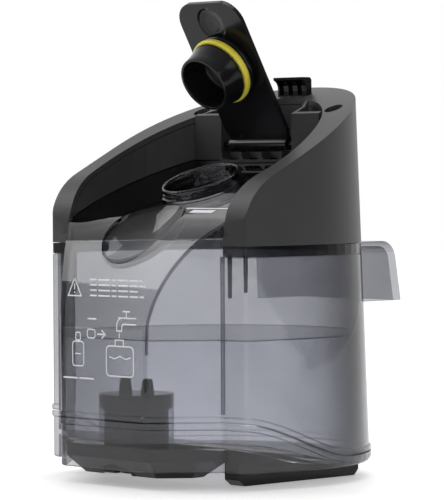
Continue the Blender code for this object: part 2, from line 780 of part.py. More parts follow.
def vent_valve(lid, rubber):
    """Umbrella valve inside the plug, which lets air in as the water is drawn off."""
    profile = [(0, 2.3), (2.2, 2.3), (2.2, 4.4), (5.5, 4.6), (8.4, 4.4), (8.8, 4.8), (5.5, 6.2),
               (1.6, 6.8), (0, 6.8)]
    return turned("vent_valve", profile, 20, rubber, lid, spot=(0, NECK_REACH, 0))


# ---------------------------------------------------------------- release latch

def latch_curve(shift):
    """The latch's hollow front: from under its lip, back and down to the stem."""
    lip = (LATCH_LIP_Y + shift, LATCH_TOP_Z - 1.4)
    stem = (LATCH_STEM_Y + shift, LATCH_TOP_Z - 9.0)
    return bezier(lip, (lip[0] + 2.6, lip[1] - 1.0), (stem[0], stem[1] + 5.0), stem, 7)


def latch_block(frame, black):
    """Ribbed thumb latch: an overhanging lip, three hollows between ribs, and a stem."""
    rear = LATCH_REAR_Y
    outline = [(LATCH_LIP_Y, LATCH_TOP_Z)] + latch_curve(0)
    outline += [(LATCH_STEM_Y, LATCH_FOOT_Z), (rear, LATCH_FOOT_Z), (rear, LATCH_TOP_Z - 1.2),
                (rear - 1.2, LATCH_TOP_Z)]
    block = prism_x("latch_block", outline, LATCH_HALF, black, frame)
    rib = 1.2
    width = (2 * LATCH_HALF - 4 * rib) / 3
    hollow_outline = [(LATCH_LIP_Y - 2, LATCH_TOP_Z - 1.4)] + latch_curve(1.6)
    hollow_outline.append((LATCH_LIP_Y - 2, hollow_outline[-1][1]))
    for i in range(3):
        middle = -LATCH_HALF + rib + width / 2 + i * (width + rib)
        cut(block, prism_x("cut_latch_hollow_%d" % (i + 1), hollow_outline, width / 2, parent=frame,
                           middle=middle))
    foot = prism_x("cut_latch_foot", box_outline(LATCH_STEM_Y - 0.8, rear + 0.9, LATCH_FOOT_Z - 1.6,
                                                 LATCH_FOOT_Z + 0.2), LATCH_HALF + 1.6, parent=frame)
    peg = turned("cut_latch_peg", [(0, -3.4), (1.6, -3.4), (1.6, 1.0), (0, 1.0)], 12, parent=frame,
                 spot=(0, LATCH_SPRING_Y, LATCH_FOOT_Z - 1.0))
    return join(block, foot, peg)


def coil(name, radius, wire, turns, low, high, spot, steel, parent):
    """A compression spring whose end turns lie flat against what they bear on."""
    per_turn, sides = 12, 5
    steps = int(per_turn * turns)
    rise = high - low - 2 * wire
    verts = []
    for i in range(steps + 1):
        share = i / steps
        turn = 2 * math.pi * turns * share
        z = low + wire + rise * smoothstep_ends(share, turns)
        centre = Vector((radius * math.cos(turn), radius * math.sin(turn), z))
        out = Vector((math.cos(turn), math.sin(turn), 0))
        for k in range(sides):
            angle = 2 * math.pi * k / sides
            point = centre + (out * math.cos(angle) + Vector((0, 0, 1)) * math.sin(angle)) * wire
            verts.append(tuple(point + Vector(spot)))
    faces = [tuple(range(sides)), tuple(range(steps * sides, (steps + 1) * sides))]
    for i in range(steps):
        for k in range(sides):
            j = (k + 1) % sides
            faces.append((i * sides + k, i * sides + j, (i + 1) * sides + j, (i + 1) * sides + k))
    return add_object(name, verts, faces, steel, parent)


def smoothstep_ends(share, turns):
    """Rise of a spring along its wire: even, but easing over the first and last half turn."""
    ease = 0.5 / turns
    return smoothstep(share) * ease + share * (1 - ease)


def latch_seat(frame, black):
    """Bridge on the tank's top that the latch spring stands on."""
    near, far = LATCH_SPRING_Y - 3.6, LATCH_SPRING_Y + 3.8
    seat = prism_x("latch_seat", box_outline(near, far, 150, SEAT_TOP_Z), 9.0, black, frame)
    well = turned("cut_seat_well", [(0, -SEAT_WELL), (3.1, -SEAT_WELL), (3.1, 5), (0, 5)], 20,
                  parent=frame, spot=(0, LATCH_SPRING_Y, SEAT_TOP_Z))
    return cut(seat, parented(below_top("cut_seat_foot", GAP), frame), well)


def latch_spring(frame, steel):
    low = SEAT_TOP_Z - SEAT_WELL + GAP
    high = LATCH_FOOT_Z - 1.6 - GAP
    return coil("latch_spring", 2.3, 0.4, 4.0, low, high, (0, LATCH_SPRING_Y, 0), steel, frame)


# ---------------------------------------------------------------- outlet valve

def valve_housing(frame, smoke):
    """Flared cup that stands through the tank's floor, with the outlet spigot below."""
    bottom = FLOOR_FRONT_Z - WALL - 6.0
    spigot_low = 5.0
    inner = HOUSING_R - HOUSING_WALL
    profile = [(STEM_R + 1.5, spigot_low), (SPIGOT_R, spigot_low), (SPIGOT_R, bottom - 2),
               (HOUSING_R - 1, bottom - 2), (HOUSING_R, bottom - 1), (HOUSING_R, HOUSING_TOP_Z - 8),
               (HOUSING_RIM_R, HOUSING_TOP_Z - 6.5), (HOUSING_RIM_R, HOUSING_TOP_Z - 0.8),
               (HOUSING_RIM_R - 0.8, HOUSING_TOP_Z), (HOUSING_RIM_R - 2.0, HOUSING_TOP_Z),
               (HOUSING_RIM_R - 2.0, HOUSING_TOP_Z - 3.0), (inner, HOUSING_TOP_Z - 3.0),
               (inner, bottom + 1), (STEM_R + 1.5, bottom + 1)]
    return turned("valve_housing", profile, 32, smoke, frame, spot=(0, VALVE_Y, 0))


def strainer_disc(frame, black):
    """Slotted disc in the housing's mouth that keeps grit out of the valve."""
    top = HOUSING_TOP_Z - 0.6
    radius = HOUSING_RIM_R - 2.0 - GAP
    disc = turned("strainer_disc", [(0, top - 2.0), (radius, top - 2.0), (radius, top), (0, top)], 24,
                  black, frame, spot=(0, VALVE_Y, 0))
    slots = 5
    pitch = 4.0
    for i in range(slots):
        y = VALVE_Y + (i - (slots - 1) / 2) * pitch
        slot = prism_x("cut_strainer_slot_%d" % (i + 1), box_outline(y - 0.8, y + 0.8, top - 6, top + 6),
                       4.0, parent=frame)
        cut(disc, slot)
    return disc


def valve_ear(frame, black, side, name):
    """One of the two upright fins on the housing, a tapered blade with a round top."""
    foot = HOUSING_TOP_Z - 0.6 + GAP
    near, far = 3.4, 2.3
    outline = [(VALVE_Y - near, foot), (VALVE_Y + near, foot), (VALVE_Y + far, EAR_TOP_Z - 0.8),
               (VALVE_Y + far - 0.8, EAR_TOP_Z), (VALVE_Y - far + 0.8, EAR_TOP_Z),
               (VALVE_Y - far, EAR_TOP_Z - 0.8)]
    return prism_x(name, outline, 1.3, black, frame, middle=side * 8.0)


def valve_plunger(frame, black):
    """Sprung poppet: a head that seals on the housing's floor and a stem down the spigot."""
    seat = FLOOR_FRONT_Z - WALL - 5.0
    head = seat + GAP + 1.8
    profile = [(0, 3.2), (STEM_R - 0.6, 3.2), (STEM_R, 3.8), (STEM_R, seat + GAP), (STEM_R, head - 1.2),
               (9.0, head), (9.0, head + 1.6), (5.2, head + 2.4), (2.4, head + 2.6), (2.4, head + 11),
               (1.8, head + 11.8), (0, head + 11.8)]
    return turned("valve_plunger", profile, 20, black, frame, spot=(0, VALVE_Y, 0))


def valve_seal(frame, rubber):
    """Rubber ring under the plunger's head."""
    seat = FLOOR_FRONT_Z - WALL - 5.0
    low = seat + GAP
    profile = [(6.2, low), (7.6, low), (7.6, low + 1.0), (6.2, low + 0.5)]
    return turned("valve_seal", profile, 20, rubber, frame, spot=(0, VALVE_Y, 0))


def valve_spring(frame, steel):
    low = FLOOR_FRONT_Z - WALL - 5.0 + GAP + 1.8 + 2.4 + GAP
    high = HOUSING_TOP_Z - 2.6 - GAP
    return coil("valve_spring", 4.2, 0.45, 5.0, low + 0.3, high, (0, VALVE_Y, 0), steel, frame)


def outlet_seal(frame, rubber):
    """Ring round the spigot that seals on the machine's port."""
    profile = [(SPIGOT_R + GAP, 6.4), (SPIGOT_R + 1.6, 6.4), (SPIGOT_R + 2.1, 7.0), (SPIGOT_R + 2.1, 7.8),
               (SPIGOT_R + 1.6, 8.4), (SPIGOT_R + GAP, 8.4)]
    return turned("outlet_seal", profile, 24, rubber, frame, spot=(0, VALVE_Y, 0))


# ---------------------------------------------------------------- base

def tray_ring(inset, height):
    """Outline of the base tray: it follows the front face and chamfers, short of the rails."""
    run_x, run_y = CHAMFER_X - FACE_HALF, CHAMFER_END_Y
    line = [(0, 0), (FACE_HALF, 0), (CHAMFER_X, run_y)]
    corner_x, corner_y = offset_line(line, -WALL - GAP - 0.2 - inset, closed=False)[1]
    side_x = TRAY_HALF - inset
    rear_y = RAIL_FRONT_Y - 0.6 - inset
    right = [(corner_x, corner_y), (side_x, corner_y + (side_x - corner_x) * run_y / run_x), (side_x, rear_y)]
    return [(x, y, height(y) if callable(height) else height) for x, y in mirror_ring(right)]


def base_tray(frame, black):
    """Black keel under the front floor, inside the skirt: it narrows downwards, and the valve
    stands in its mouth."""
    top_at = lambda y: floor_top(y + 3.0) - WALL - GAP - 0.4
    tray = loft("base_tray", [tray_ring(9.0, 4.5), tray_ring(0, 13.0), tray_ring(0, top_at)], black, frame)
    mouth = turned("cut_tray_mouth", [(0, -OVER), (HOUSING_R + 0.6, -OVER), (HOUSING_R + 0.6, 60), (0, 60)],
                   32, parent=frame, spot=(0, VALVE_Y, 0))
    return cut(tray, mouth)


def base_rail(frame, black, side, name):
    """Runner under the pan that the tank stands and slides on."""
    near, far = RAIL_FRONT_Y, RAIL_REAR_Y
    outline = [(near + 4, 0), (far - 3, 0), (far, 3)]
    top_points = 8
    for i in range(top_points):
        y = far - (far - near) * i / (top_points - 1)
        outline.append((y, max(floor_top(y) - WALL, SKIRT_Z + 0.3) - GAP - 0.2))
    outline.append((near, 3))
    middle = side * (RAIL_OUTER_X + RAIL_INNER_X) / 2
    return prism_x(name, outline, (RAIL_OUTER_X - RAIL_INNER_X) / 2, black, frame, middle=middle)


def main():
    clear_scene()
    clear, satin, gloss = smoke_clear(), satin_black(), gloss_black()
    smoke, silicone, rubber = smoke_dark(), yellow_silicone(), grey_rubber()
    steel, blackened = spring_steel(), dark_steel()
    frame = frame_empty("tank_frame", -MIDDLE_Y, 0)

    tank_shell(frame, clear)
    filler_neck(frame, clear)
    bottom_pan(frame, clear)
    grip_pocket(frame, clear)

    collar_housing(frame, satin)
    collar_liner(frame, satin)
    collar_gasket(frame, rubber)
    for side, word in ((-1, "left"), (1, "right")):
        hinge_bracket(frame, satin, side, "hinge_bracket_" + word)
        collar_boss(frame, satin, side, "collar_boss_" + word)
        collar_screw(frame, blackened, side, "collar_screw_" + word)
    hinge_cradle(frame, satin)
    hinge_pin(frame, blackened)

    lid = frame_empty("lid_hinge", HINGE_Y, HINGE_Z, math.pi / 2 + FLAP_LEAN, frame)
    lid_flap(lid, gloss)
    lid_plug(lid, gloss)
    seal_ring(lid, silicone)
    vent_valve(lid, rubber)

    latch_block(frame, gloss)
    latch_seat(frame, satin)
    latch_spring(frame, steel)

    valve_housing(frame, smoke)
    strainer_disc(frame, gloss)
    valve_ear(frame, gloss, -1, "valve_ear_left")
    valve_ear(frame, gloss, 1, "valve_ear_right")
    valve_plunger(frame, gloss)
    valve_seal(frame, rubber)
    valve_spring(frame, steel)
    outlet_seal(frame, rubber)

    base_tray(frame, satin)
    base_rail(frame, satin, -1, "base_rail_left")
    base_rail(frame, satin, 1, "base_rail_right")


main()
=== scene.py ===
"""Looks for the clean-water tank: smoke-clear plastic, satin black collar, gloss black flap.

Shapes are worked out in millimetres in the tank's own directions, x from left to right, y from
the front face to the rear, z up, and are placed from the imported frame's hinge.
"""
import json
import math

import bmesh
import bpy
from mathutils import Matrix, Vector


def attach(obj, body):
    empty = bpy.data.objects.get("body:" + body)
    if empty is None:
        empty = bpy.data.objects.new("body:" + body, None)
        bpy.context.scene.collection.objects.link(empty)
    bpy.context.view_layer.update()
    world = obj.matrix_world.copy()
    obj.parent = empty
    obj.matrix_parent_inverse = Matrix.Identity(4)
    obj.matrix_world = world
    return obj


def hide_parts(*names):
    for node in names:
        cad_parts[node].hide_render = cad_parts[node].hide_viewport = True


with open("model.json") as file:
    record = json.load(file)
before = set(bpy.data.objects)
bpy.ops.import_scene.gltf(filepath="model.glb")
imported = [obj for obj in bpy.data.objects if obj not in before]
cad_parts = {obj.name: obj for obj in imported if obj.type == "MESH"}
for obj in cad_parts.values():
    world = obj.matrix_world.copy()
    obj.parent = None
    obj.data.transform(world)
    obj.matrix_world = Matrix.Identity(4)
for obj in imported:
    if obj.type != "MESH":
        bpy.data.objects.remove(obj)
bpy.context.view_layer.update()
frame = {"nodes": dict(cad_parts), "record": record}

MM = 0.001
NODES = frame["nodes"]
HINGE = next(joint for joint in frame["record"]["behaviour"]["joints"] if joint["name"] == "lid_hinge")

# The hinge in design millimetres, and the shift that takes those to the frame
HINGE_Y = 109.6
HINGE_Z = HINGE["pos_m"][2] / MM
SHIFT_Y = HINGE["pos_m"][1] / MM - HINGE_Y

# Plan of the tank
FACE_HALF = 31.0
CHAMFER_X = 54.7
CHAMFER_END_Y = 27.0
STEP_Y = 28.0
ARM_X = 70.5
MAX_X = 74.5
CREASE_Y = 74.0
SIDE_START = 8.0     # from the step to where the side's curve takes over from the arm's corner
REAR_DEPTH = 76.5
DRAFT = 0.036
WALL = 2.4

# Heights
SEAM_Z = 117.0
GASKET_LOW_Z = 111.5
BAND_FRONT_Z = 35.0
BAND_REAR_Z = 16.0
BAND_HEIGHT = 6.0
BAND_PROUD = 0.9
BAND_FALL_START = 26.0
BAND_FALL_END = 96.0
FLOOR_FRONT_Z = 22.0
FLOOR_REAR_Z = 10.5
GASKET_DEPTH = 0.9
WATER_Z = 72.0
VALVE_Y = 22.5
MARK_Y = 44.0        # where the full line crosses the sloping top
HIGH_Z = 216.0       # above everything but the flap

# Sloping top and neck
TOP_SLOPE = math.radians(21.0)
NECK_REACH = 46.0
NECK_HEIGHT = 6.2
NECK_R = 20.6
NECK_BORE_R = 18.5
FACE_TOP_Z = 72.0
CURVE_END_Y = 34.0

# Collar
COLLAR_SKIN = 2.8
RIM_SLOPE = math.radians(25.2)
RIM_REAR_Z = 197.3
RIM_START_Z = 122.0
RIM_BEND_Y = 48.0
RIM_BEND_Z = 152.3
RECESS_FRONT_X = 56.0
RECESS_MAX_X = 62.5
RECESS_MID_Y = 61.0
RECESS_REAR = 68.0
FLAP_LEAN = math.radians(30.2)
TUCK = 3.2           # how far the tank's wall steps in under the collar
SCREW_X = 47.4
SCREW_Y = 113.8
SCREW_HOLE_R = 4.6
LATCH_HALF = 10.3
LATCH_STEM_Y = 132.6
LATCH_REAR_Y = 136.2


# ---------------------------------------------------------------- mesh helpers

def to_frame(point):
    """A design point in millimetres as a point of the frame in metres."""
    return Vector((point[0], point[1] + SHIFT_Y, point[2])) * MM


def make_mesh(name, verts, faces, material, body, sharp=35.0, placed=False):
    mesh = bpy.data.meshes.new(name)
    mesh.from_pydata(list(verts) if placed else [to_frame(v) for v in verts], [], faces)
    work = bmesh.new()
    work.from_mesh(mesh)
    bmesh.ops.recalc_face_normals(work, faces=work.faces)
    work.to_mesh(mesh)
    work.free()
    mesh.shade_smooth()
    mesh.set_sharp_from_angle(angle=math.radians(sharp))
    obj = bpy.data.objects.new(name, mesh)
    bpy.context.collection.objects.link(obj)
    if material:
        mesh.materials.append(material)
    if body:
        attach(obj, body)
    return obj


def apply_modifiers(obj, sharp=35.0):
    """Replace an object's mesh by the mesh its modifiers make."""
    bpy.context.view_layer.update()
    depsgraph = bpy.context.evaluated_depsgraph_get()
    mesh = bpy.data.meshes.new_from_object(obj.evaluated_get(depsgraph))
    obj.modifiers.clear()
    obj.data = mesh
    mesh.shade_smooth()
    mesh.set_sharp_from_angle(angle=math.radians(sharp))
    return obj


def carve(obj, *cutters, operation='DIFFERENCE'):
    """Boolean an object with others, which are then gone."""
    for cutter in cutters:
        modifier = obj.modifiers.new("carve", 'BOOLEAN')
        modifier.object = cutter
        modifier.operation = operation
        modifier.solver = 'EXACT'
    apply_modifiers(obj)
    for cutter in cutters:
        bpy.data.objects.remove(cutter)
    return obj


def loft(name, rings, material=None, body=None):
    """Skin rings that mirror across x = 0; the ends are capped by strips from side to side."""
    count = len(rings[0])
    verts = [point for ring in rings for point in ring]
    faces = []
    for level in range(len(rings) - 1):
        low = level * count
        for i in range(count):
            j = (i + 1) % count
            faces.append((low + i, low + j, low + count + j, low + count + i))
    for base in (0, (len(rings) - 1) * count):
        for i in range(count // 2 - 1):
            faces.append((base + i, base + i + 1, base + count - 2 - i, base + count - 1 - i))
    return make_mesh(name, verts, faces, material, body)


def turned(name, profile, segments, material=None, body=None, place=None, sharp=35.0):
    """Turn an (r, z) profile about z.  A profile that starts and ends on the axis is a solid;
    any other is closed on itself.  place puts millimetres of its own frame into the design's."""
    place = place or Matrix.Identity(4)
    solid = profile[0][0] == 0 and profile[-1][0] == 0
    verts, rows = [], []
    for r, z in profile:
        if r == 0:
            rows.append([len(verts)] * segments)
            verts.append(place @ Vector((0, 0, z)))
            continue
        rows.append([len(verts) + i for i in range(segments)])
        for i in range(segments):
            turn = 2 * math.pi * i / segments
            verts.append(place @ Vector((r * math.cos(turn), r * math.sin(turn), z)))
    pairs = list(zip(rows, rows[1:]))
    if not solid:
        pairs.append((rows[-1], rows[0]))
    faces = []
    for lower, upper in pairs:
        for i in range(segments):
            j = (i + 1) % segments
            faces.append(tuple(dict.fromkeys((lower[i], lower[j], upper[j], upper[i]))))
    return make_mesh(name, verts, faces, material, body, sharp)


# ---------------------------------------------------------------- curves and outlines

def smoothstep(value):
    value = min(max(value, 0.0), 1.0)
    return value * value * (3 - 2 * value)


def bezier(start, start_pull, end_pull, end, steps):
    points = []
    for i in range(steps + 1):
        t = i / steps
        weights = ((1 - t) ** 3, 3 * t * (1 - t) ** 2, 3 * t * t * (1 - t), t ** 3)
        corners = (start, start_pull, end_pull, end)
        points.append(tuple(sum(w * c[k] for w, c in zip(weights, corners)) for k in (0, 1)))
    return points


def rounded(before, corner, after, radius, steps):
    """Points of an arc of the given radius that rounds off a corner."""
    before, corner, after = Vector(before), Vector(corner), Vector(after)
    into = (corner - before).normalized()
    out = (after - corner).normalized()
    turn = into.angle(out)
    tangent = radius * math.tan(turn / 2)
    start = corner - into * tangent
    side = Vector((-into.y, into.x))
    if side.dot(out) < 0:
        side.negate()
    centre = start + side * radius
    points = []
    for i in range(steps + 1):
        angle = turn * i / steps
        points.append(tuple(centre - side * radius * math.cos(angle) + into * radius * math.sin(angle)))
    return points


def offset_line(points, distance, closed=True):
    """Move a line to its right-hand side by a distance, or by one distance per point."""
    count = len(points)
    shifts = distance if isinstance(distance, list) else [distance] * count
    moved = []
    for i, point in enumerate(points):
        before = points[i - 1] if closed or i > 0 else None
        after = points[(i + 1) % count] if closed or i < count - 1 else None
        normals = []
        for start, end in ((before, point), (point, after)):
            if start is None or end is None:
                continue
            step = Vector(end) - Vector(start)
            normals.append(Vector((step.y, -step.x)).normalized())
        if len(normals) == 1:
            normals.append(normals[0])
        total = normals[0] + normals[1]
        mitre = total / (1 + normals[0].dot(normals[1]))
        moved.append(tuple(Vector(point) + mitre * shifts[i]))
    return moved


def mirror_ring(right):
    return right + [(-x, y) for x, y in reversed(right)]


def side_curve(y):
    """Half width of the tank's side between an arm's front end and the crease."""
    return ARM_X + (MAX_X - ARM_X) * math.sin(math.pi / 2 * (y - STEP_Y) / (CREASE_Y - STEP_Y))


def side_and_rear(side_steps=10, rear_steps=44):
    start = STEP_Y + SIDE_START
    points = []
    for i in range(side_steps):
        y = start + (CREASE_Y - start) * i / side_steps
        points.append((side_curve(y), y))
    for i in range(rear_steps):
        turn = math.pi / 2 * i / (rear_steps - 0.5)
        points.append((MAX_X * math.cos(turn), CREASE_Y + REAR_DEPTH * math.sin(turn)))
    return points


def tank_ring(height, outset=0.0, tuck=0.0):
    """The tank's outline at a height that may depend on y, moved out by outset.  Behind the
    chamfers it stands in by tuck as well.  The rear leans out going down."""
    height_at = height if callable(height) else lambda y: height
    inner = outset - tuck
    side = side_and_rear()
    front = offset_line([(0, 0), (FACE_HALF, 0), (CHAMFER_X, CHAMFER_END_Y)], outset, closed=False)
    right = rounded(*front, max(5.0 + outset, 0.4), 8)
    arm = [(CHAMFER_X, CHAMFER_END_Y), (ARM_X, STEP_Y + 1), side[0]]
    if tuck:
        elbow = (front[2][0] + 0.4, STEP_Y - inner)
        right += [front[2], (elbow[0], front[2][1] + 0.8), (elbow[0] + 0.1, elbow[1] - 0.5),
                  (elbow[0] + 0.3, elbow[1] - 0.2), (elbow[0] + 0.9, elbow[1])]
    else:
        corner = offset_line([(FACE_HALF, 0)] + arm[:2], outset, closed=False)
        right += rounded(*corner, max(2.0 - outset, 0.4), 4)
    right += rounded(*offset_line(arm, inner, closed=False), max(2.5 + inner, 0.4), 5)
    shifts = []
    for x, y in side:
        lean = DRAFT * (SEAM_Z - height_at(y))
        shifts.append(inner + lean * smoothstep((y - STEP_Y) / (CREASE_Y - STEP_Y)))
    right += offset_line(side, shifts, closed=False)
    return [(x, y, height_at(y)) for x, y in mirror_ring(right)]


def band_fall(y):
    return smoothstep((y - BAND_FALL_START) / (BAND_FALL_END - BAND_FALL_START))


def band_top(y):
    return BAND_FRONT_Z + (BAND_REAR_Z - BAND_FRONT_Z) * band_fall(y)


def top_height(y):
    """Height of the sloping top at y, behind its curved front."""
    return HINGE_Z - NECK_HEIGHT / math.cos(TOP_SLOPE) - (HINGE_Y - y) * math.tan(TOP_SLOPE)


def floor_top(y):
    return FLOOR_FRONT_Z + (FLOOR_REAR_Z - FLOOR_FRONT_Z) * band_fall(y)


def top_line(steps=28):
    """Side view of the tank's top: the curved front, then the sloping plane."""
    end = (CURVE_END_Y, top_height(CURVE_END_Y))
    pull = 17.0
    end_pull = (end[0] - pull * math.cos(TOP_SLOPE), end[1] - pull * math.sin(TOP_SLOPE))
    rear_y = CREASE_Y + REAR_DEPTH + 10
    line = bezier((-0.6, FACE_TOP_Z - 4), (-0.2, FACE_TOP_Z + 28), end_pull, end, steps)
    return line + [(rear_y, top_height(rear_y))]


def rim_line():
    """Side view of the collar's rim: up the front end of an arm, back along a slope, and
    flattening towards the rear."""
    front_pull = 14.0
    bend = (RIM_BEND_Y, RIM_BEND_Z)
    slope = Vector((1, math.tan(RIM_SLOPE))).normalized()
    rear = (CREASE_Y + REAR_DEPTH + 2, RIM_REAR_Z)
    rear_slope = 0.237
    front = bezier((STEP_Y, RIM_START_Z), (STEP_Y, RIM_START_Z + front_pull),
                   (bend[0] - front_pull * slope.x, bend[1] - front_pull * slope.y), bend, 18)
    back = bezier(bend, (bend[0] + 39 * slope.x, bend[1] + 39 * slope.y),
                  (rear[0] - 38, rear[1] - 38 * rear_slope), rear, 20)
    beyond = 18.0
    return front + back[1:] + [(rear[0] + beyond, rear[1] + beyond * rear_slope)]


def prism_x(outline, half_width, middle=0.0):
    """A side-view outline (y, z) as a solid from side to side."""
    count = len(outline)
    verts = [(middle + side * half_width, y, z) for side in (-1, 1) for y, z in outline]
    faces = [tuple(range(count)), tuple(range(count, 2 * count))]
    faces += [(i, (i + 1) % count, count + (i + 1) % count, count + i) for i in range(count)]
    return make_mesh("cutter", verts, faces, None, None)


def prism_z(outline, low, high):
    count = len(outline)
    verts = [(x, y, z) for z in (low, high) for x, y in outline]
    faces = [tuple(range(count)), tuple(range(count, 2 * count))]
    faces += [(i, (i + 1) % count, count + (i + 1) % count, count + i) for i in range(count)]
    return make_mesh("cutter", verts, faces, None, None)


def everything_above(line, raised, half_width=MAX_X + 20, middle=0.0):
    """A cutter for all that is above a side-view line, raised by a distance."""
    line = offset_line(line, -raised, closed=False)
    ceiling = 260.0
    outline = [(-20, line[0][1])] + line + [(line[-1][0], ceiling), (-20, ceiling)]
    return prism_x(outline, half_width, middle)


def recess_plan(outset, front_y):
    """The open recess inside the collar, from front_y back to its round rear end."""
    right = []
    arm_steps = 14
    for i in range(arm_steps + 1):
        y = STEP_Y + (RECESS_MID_Y - STEP_Y) * i / arm_steps
        swell = math.sin(math.pi / 2 * i / arm_steps)
        right.append((RECESS_FRONT_X + (RECESS_MAX_X - RECESS_FRONT_X) * swell, y))
    rear_steps = 36
    for i in range(1, rear_steps):
        turn = math.pi / 2 * i / (rear_steps - 0.5)
        right.append((RECESS_MAX_X * math.cos(turn), RECESS_MID_Y + RECESS_REAR * math.sin(turn)))
    ring = offset_line(mirror_ring(right), outset)
    half = ring[:len(ring) // 2]
    half = [(half[0][0], front_y)] + half[1:]
    return mirror_ring(half)


# ---------------------------------------------------------------- materials

def node_material(name):
    material = bpy.data.materials.new(name)
    material.use_nodes = True
    nodes = material.node_tree.nodes
    return material, nodes, material.node_tree.links, nodes["Principled BSDF"]


def math_node(nodes, links, operation, *values, clamp=False):
    node = nodes.new("ShaderNodeMath")
    node.operation = operation
    node.use_clamp = clamp
    for socket, value in zip(node.inputs, values):
        if isinstance(value, (int, float)):
            socket.default_value = value
        else:
            links.new(value, socket)
    return node.outputs[0]


def object_noise(nodes, links, scale, detail=3.0):
    """Noise laid out in the object's own directions, in metres."""
    coords = nodes.new("ShaderNodeTexCoord")
    noise = nodes.new("ShaderNodeTexNoise")
    noise.inputs["Scale"].default_value = scale
    noise.inputs["Detail"].default_value = detail
    links.new(coords.outputs["Object"], noise.inputs["Vector"])
    return noise.outputs["Fac"]


def map_range(nodes, links, value, low, high):
    node = nodes.new("ShaderNodeMapRange")
    links.new(value, node.inputs["Value"])
    node.inputs["To Min"].default_value = low
    node.inputs["To Max"].default_value = high
    return node.outputs[0]


def colour_mix(nodes, links, factor, first, second):
    node = nodes.new("ShaderNodeMix")
    node.data_type = 'RGBA'
    links.new(factor, node.inputs["Factor"])
    for socket, value in ((node.inputs[6], first), (node.inputs[7], second)):
        socket.default_value = (*value, 1.0)
    return node.outputs[2]


def moulded_plastic(name, dark, light, rough_low, rough_high, grain_scale, grain_depth, shine=0.5):
    """Black moulded plastic: a faint drift of tone and gloss, and a fine moulded grain."""
    material, nodes, links, shader = node_material(name)
    drift = object_noise(nodes, links, 22.0)
    links.new(colour_mix(nodes, links, drift, dark, light), shader.inputs["Base Color"])
    links.new(map_range(nodes, links, drift, rough_low, rough_high), shader.inputs["Roughness"])
    shader.inputs["Specular IOR Level"].default_value = shine
    grain = object_noise(nodes, links, grain_scale, 2.0)
    bump = nodes.new("ShaderNodeBump")
    bump.inputs["Strength"].default_value = grain_depth
    bump.inputs["Distance"].default_value = 0.0001
    links.new(grain, bump.inputs["Height"])
    links.new(bump.outputs[0], shader.inputs["Normal"])
    return material


def clear_plastic(name, straight, glancing, roughness, edge_power=2.5, waviness=0.05):
    """Thin tinted plastic: what is behind shows through, darker where the wall is seen at a
    glancing angle, under a clear glossy surface."""
    material, nodes, links, shader = node_material(name)
    nodes.remove(shader)
    facing = nodes.new("ShaderNodeLayerWeight")
    facing.inputs["Blend"].default_value = 0.5
    edge = math_node(nodes, links, 'POWER', facing.outputs["Facing"], edge_power)
    drift = object_noise(nodes, links, 30.0, 2.0)
    haze = math_node(nodes, links, 'MULTIPLY_ADD', drift, 0.10, -0.05)
    density = math_node(nodes, links, 'ADD', edge, haze, clamp=True)
    tint = colour_mix(nodes, links, density, straight, glancing)
    through = nodes.new("ShaderNodeBsdfTransparent")
    links.new(tint, through.inputs["Color"])
    gloss = nodes.new("ShaderNodeBsdfGlossy")
    gloss.inputs["Roughness"].default_value = roughness
    ripple = object_noise(nodes, links, 45.0, 1.0)
    bump = nodes.new("ShaderNodeBump")
    bump.inputs["Strength"].default_value = waviness
    bump.inputs["Distance"].default_value = 0.001
    links.new(ripple, bump.inputs["Height"])
    links.new(bump.outputs[0], gloss.inputs["Normal"])
    fifth = math_node(nodes, links, 'POWER', facing.outputs["Facing"], 5.0)
    head_on = 0.04       # share of light that plastic mirrors when seen head on
    mirror = math_node(nodes, links, 'MULTIPLY_ADD', fifth, 1 - head_on, head_on)
    mix = nodes.new("ShaderNodeMixShader")
    links.new(mirror, mix.inputs["Fac"])
    links.new(through.outputs[0], mix.inputs[1])
    links.new(gloss.outputs[0], mix.inputs[2])
    links.new(mix.outputs[0], nodes["Material Output"].inputs["Surface"])
    return material


def silicone(name, dark, light):
    material, nodes, links, shader = node_material(name)
    drift = object_noise(nodes, links, 60.0)
    links.new(colour_mix(nodes, links, drift, dark, light), shader.inputs["Base Color"])
    links.new(map_range(nodes, links, drift, 0.32, 0.45), shader.inputs["Roughness"])
    shader.inputs["Subsurface Weight"].default_value = 0.08
    shader.inputs["Subsurface Scale"].default_value = 0.002
    return material


def rubber(name):
    return moulded_plastic(name, (0.018, 0.018, 0.019), (0.032, 0.032, 0.034), 0.6, 0.75, 900.0, 0.25)


def steel(name, dark, light):
    material, nodes, links, shader = node_material(name)
    drift = object_noise(nodes, links, 200.0)
    links.new(colour_mix(nodes, links, drift, dark, light), shader.inputs["Base Color"])
    links.new(map_range(nodes, links, drift, 0.22, 0.36), shader.inputs["Roughness"])
    shader.inputs["Metallic"].default_value = 1.0
    return material


def printed_ink(name):
    material, nodes, links, shader = node_material(name)
    drift = object_noise(nodes, links, 400.0)
    links.new(colour_mix(nodes, links, drift, (0.72, 0.73, 0.75), (0.85, 0.86, 0.88)),
              shader.inputs["Base Color"])
    links.new(map_range(nodes, links, drift, 0.4, 0.55), shader.inputs["Roughness"])
    return material


def paper_floor(name):
    material, nodes, links, shader = node_material(name)
    drift = object_noise(nodes, links, 3.0)
    links.new(colour_mix(nodes, links, drift, (0.88, 0.88, 0.88), (0.90, 0.90, 0.90)),
              shader.inputs["Base Color"])
    links.new(map_range(nodes, links, drift, 0.5, 0.6), shader.inputs["Roughness"])
    shader.inputs["Emission Color"].default_value = (1.0, 1.0, 1.0, 1.0)
    shader.inputs["Emission Strength"].default_value = 0.35
    return material


# ---------------------------------------------------------------- clear tank

